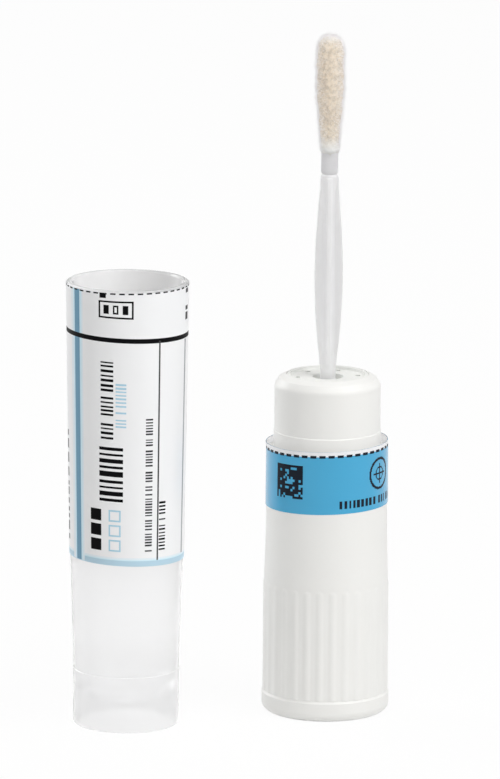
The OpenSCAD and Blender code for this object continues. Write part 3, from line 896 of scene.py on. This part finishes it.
def make_fibres():
    """Thin three-sided hairs, spread evenly over the flock's outline, that lean each its own way."""
    heights = np.linspace(TIP_Z - 0.1, TIP_TOP - 0.02, 600)
    radii = np.array([tip_r(z) for z in heights])
    slope = np.gradient(radii, heights)
    area = np.cumsum(np.maximum(radii, 0.05) * np.sqrt(1 + slope ** 2))
    z = np.interp(flock_draw.uniform(0, 1, FIBRES), area / area[-1], heights)
    turn = flock_draw.uniform(0, 2 * math.pi, FIBRES)
    r = np.interp(z, heights, radii)
    rise = np.clip(np.interp(z, heights, slope), -6, 6)
    outward = unit(np.stack([np.cos(turn), np.sin(turn), -rise], 1))
    surface = np.stack([r * np.cos(turn), r * np.sin(turn), z], 1)
    lean = flock_draw.normal(0, FIBRE_LEAN, (FIBRES, 3))
    along = unit(outward + lean)
    short = np.clip((z - TIP_Z) / 2.0 + 0.35, 0.15, 1)[:, None]    # hairs near the foot are shorter
    uneven = np.array([clump(a, up) for a, up in zip(turn, z)])[:, None] * CLUMPING
    proud = flock_draw.uniform(*FIBRE_PROUD, FIBRES)[:, None] * short
    root = surface - outward * (FLOCK_DEPTH + FIBRE_ROOM) * short
    end = surface + outward * uneven + lean * FIBRE_SWAY * short + outward * proud
    across = unit(np.cross(along, flock_draw.normal(0, 1, (FIBRES, 3))))
    across2 = np.cross(along, across)
    thick = flock_draw.uniform(*FIBRE_R, FIBRES)[:, None]
    corners = [root + thick * (math.cos(q) * across + math.sin(q) * across2) for q in (0, THIRD, 2 * THIRD)]
    verts = np.stack(corners + [end], 1).reshape(-1, 3) + (*CAP_AXIS, 0)
    first = np.arange(FIBRES) * 4
    faces = np.concatenate([np.stack([first + p, first + q, first + 3], 1)
                            for p, q in ((0, 1), (1, 2), (2, 0))])
    return add_mesh("flock_fibres", verts, faces.tolist(), [FIBRE])


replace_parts(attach(make_flock_body(), "cap"), "swab_tip")
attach(make_fibres(), "cap")


# ---------------------------------------------------------------- floor and surroundings

FLOOR_HALF = 6.0     # in metres
FLOOR_GLOW = 0.94    # how much of the floor, where it is seen, shines evenly like lit paper
WORLD_LIGHT = 0.2


def seen(tree):
    """1 for what the camera sees, straight, in a mirror or through clear plastic, and 0 for bounced light."""
    path = add_node(tree, "LightPath").outputs
    direct = maths(tree, "ADD", path["Is Camera Ray"], path["Is Glossy Ray"], clamp=True)
    return maths(tree, "ADD", direct, path["Is Transmission Ray"], clamp=True)


def seen_or_lit(tree, share, lit, shown, surface):
    """Gives the surface one shader for the light it returns, and another, by share, for how it is seen."""
    mix = add_node(tree, "MixShader")
    tree.links.new(share, mix.inputs[0])
    tree.links.new(lit.outputs[0], mix.inputs[1])
    tree.links.new(shown.outputs[0], mix.inputs[2])
    tree.links.new(mix.outputs[0], surface)


def make_floor():
    """A wide white floor that takes the object's soft shadow."""
    me = bpy.data.meshes.new("floor")
    h = FLOOR_HALF
    me.from_pydata([(-h, -h, 0), (h, -h, 0), (h, h, 0), (-h, h, 0)], [], [(0, 1, 2, 3)])
    m = bpy.data.materials.new("paper_floor")
    m.use_nodes = True
    tree = m.node_tree
    tree.nodes.clear()
    seen_or_lit(tree, maths(tree, "MULTIPLY", seen(tree), FLOOR_GLOW),
                add_node(tree, "BsdfDiffuse", Color=(0.9, 0.9, 0.9, 1)),
                add_node(tree, "Emission", Strength=1.0),
                add_node(tree, "OutputMaterial").inputs["Surface"])
    me.materials.append(m)
    ob = bpy.data.objects.new("floor", me)
    bpy.context.scene.collection.objects.link(ob)
    return ob


def light_world():
    """A studio that gives a weak, slightly warm light, and looks light grey in mirrors and clear plastic."""
    world = bpy.data.worlds.new("studio")
    bpy.context.scene.world = world
    world.use_nodes = True
    tree = world.node_tree
    light = tree.nodes["Background"]
    light.inputs["Color"].default_value = (1, 0.99, 0.965, 1)
    light.inputs["Strength"].default_value = WORLD_LIGHT
    seen_or_lit(tree, seen(tree), light, add_node(tree, "Background", Strength=1.0),
                tree.nodes["World Output"].inputs["Surface"])


make_floor()
light_world()


# ---------------------------------------------------------------- lamps and camera, in metres

MID = Vector((0, 0, 0.05))


def lamp(name, azimuth, height, far, wide, tall, power, colour=(1, 1, 1)):
    """A softbox that faces the object. Azimuth is in degrees from the camera's side, to the right."""
    data = bpy.data.lights.new(name, "AREA")
    data.shape = "RECTANGLE"
    data.size, data.size_y, data.energy, data.color = wide, tall, power, colour
    ob = bpy.data.objects.new(name, data)
    bpy.context.scene.collection.objects.link(ob)
    a, e = math.radians(azimuth), math.radians(height)
    ob.location = MID + far * Vector((math.cos(e) * math.sin(a), -math.cos(e) * math.cos(a), math.sin(e)))
    ob.rotation_euler = (MID - ob.location).to_track_quat("-Z", "Y").to_euler()


# azimuth and height in degrees, distance, width and height in metres, power in watts, colour
lamp("key", 60, 50, 1.3, 0.8, 0.8, 6.8)
lamp("low_key", 50, 18, 1.2, 0.35, 0.9, 1.6)
lamp("front", 0, 50, 1.3, 0.8, 0.8, 3.75, (1, 0.985, 0.95))
lamp("top", 30, 85, 2.2, 2.6, 2.6, 16.0)
lamp("rim", -130, 18, 1.2, 0.35, 0.9, 5.0)

# what the camera looks at and from how far, how far it looks down, its roll, and its lens in mm
TARGET, FAR = Vector((0.00316, -0.00471, 0.0518)), 1.2
TILT, ROLL = math.radians(11.8), math.radians(0.4)
LENS, SENSOR, FARTHEST = 366.6, 36.0, 20.0


def make_camera():
    """Looks along +Y from the front and a little down, turned slightly about its own line of sight."""
    data = bpy.data.cameras.new("camera")
    data.lens, data.sensor_width, data.clip_end = LENS, SENSOR, FARTHEST
    ob = bpy.data.objects.new("camera", data)
    bpy.context.scene.collection.objects.link(ob)
    ob.location = TARGET + FAR * Vector((0, -math.cos(TILT), math.sin(TILT)))
    aim = (TARGET - ob.location).to_track_quat("-Z", "Y")
    ob.rotation_euler = (aim @ Quaternion((0, 0, 1), ROLL)).to_euler()
    return ob


bpy.context.scene.camera = make_camera()
bpy.context.scene.view_settings.view_transform = "Standard"
